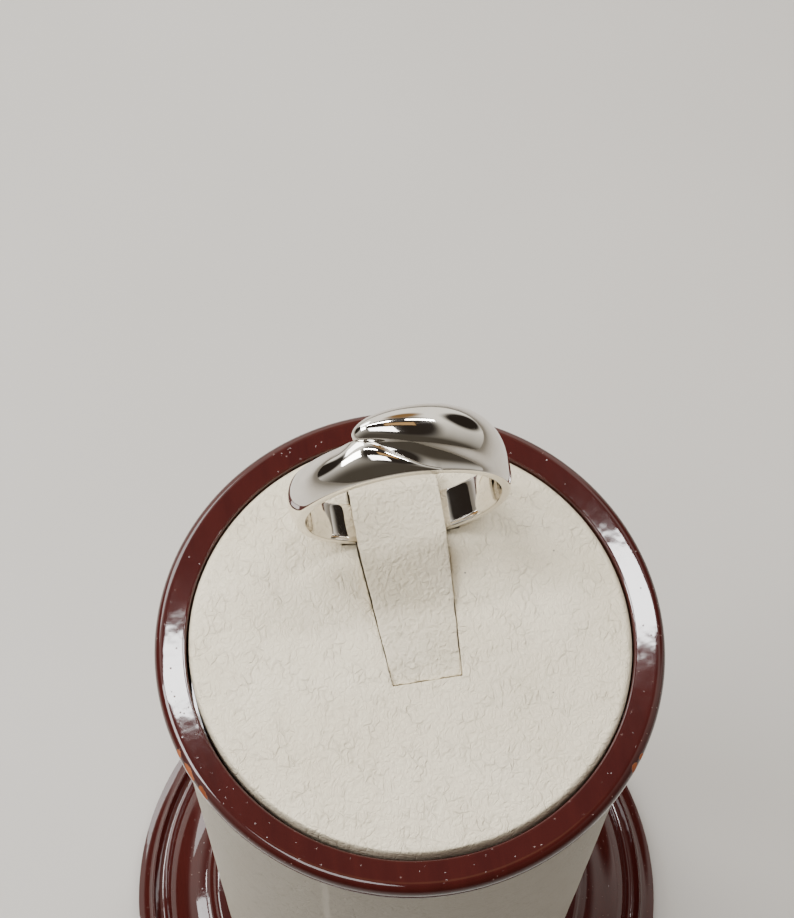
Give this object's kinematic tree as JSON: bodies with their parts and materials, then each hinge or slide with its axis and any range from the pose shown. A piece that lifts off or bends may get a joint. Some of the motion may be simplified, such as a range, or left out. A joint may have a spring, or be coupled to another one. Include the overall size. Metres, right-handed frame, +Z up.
{
  "type": "finger ring on a display stand",
  "caption": "Polished bypass finger ring held under the leatherette tongue of a round turned display stand; the tongue lifts and the ring slides off.",
  "frame": {"origin": "centre of the base's underside, on the table", "axes": "+Z up along the column; the tongue lies along Y with its free end towards -Y and its fold towards +Y; +X to the right seen from the free end"},
  "size_m": [0.0712, 0.0712, 0.1232],
  "materials": {
    "silver": "mirror polished sterling silver",
    "leatherette": "matte cream-white leatherette, fine grain",
    "tongue_leatherette": "matte cream leatherette, pebble grain",
    "lacquered_wood": "glossy dark red mahogany lacquer",
    "plain_wood": "bare turned wood",
    "card": "grey-brown board",
    "foam": "soft foam sheet",
    "felt": "black felt",
    "steel": "zinc plated"
  },
  "bodies": {
    "stand": {"base_felt": "felt", "base_plinth": "lacquered_wood", "base_screws": "steel", "column_bottom_plug": "plain_wood", "column_tube": "card", "column_wrap": "leatherette", "column_top_plug": "plain_wood", "top_rim": "lacquered_wood", "rim_screws": "steel", "pad_board": "card", "pad_foam": "foam", "pad_leatherette": "leatherette"},
    "tongue": {"tongue_cover": "tongue_leatherette", "tongue_core": "card"},
    "ring": {"silver_ring": "silver"}
  },
  "joints": [
    {"name": "tongue_hinge", "type": "hinge", "parent": "stand", "child": "tongue", "pos_m": [0.00085, 0.0174, 0.10196], "axis": [-1, 0, 0], "range_deg": [0, 70]},
    {"name": "ring_slide", "type": "slide", "parent": "tongue", "child": "ring", "axis": [0, -0.9945, -0.1045], "range_m": [0, 0.02]}
  ],
  "couplings": [
    {"joint": "ring_slide", "follows": "tongue_hinge", "m_per_rad": 0.0163}
  ]
}
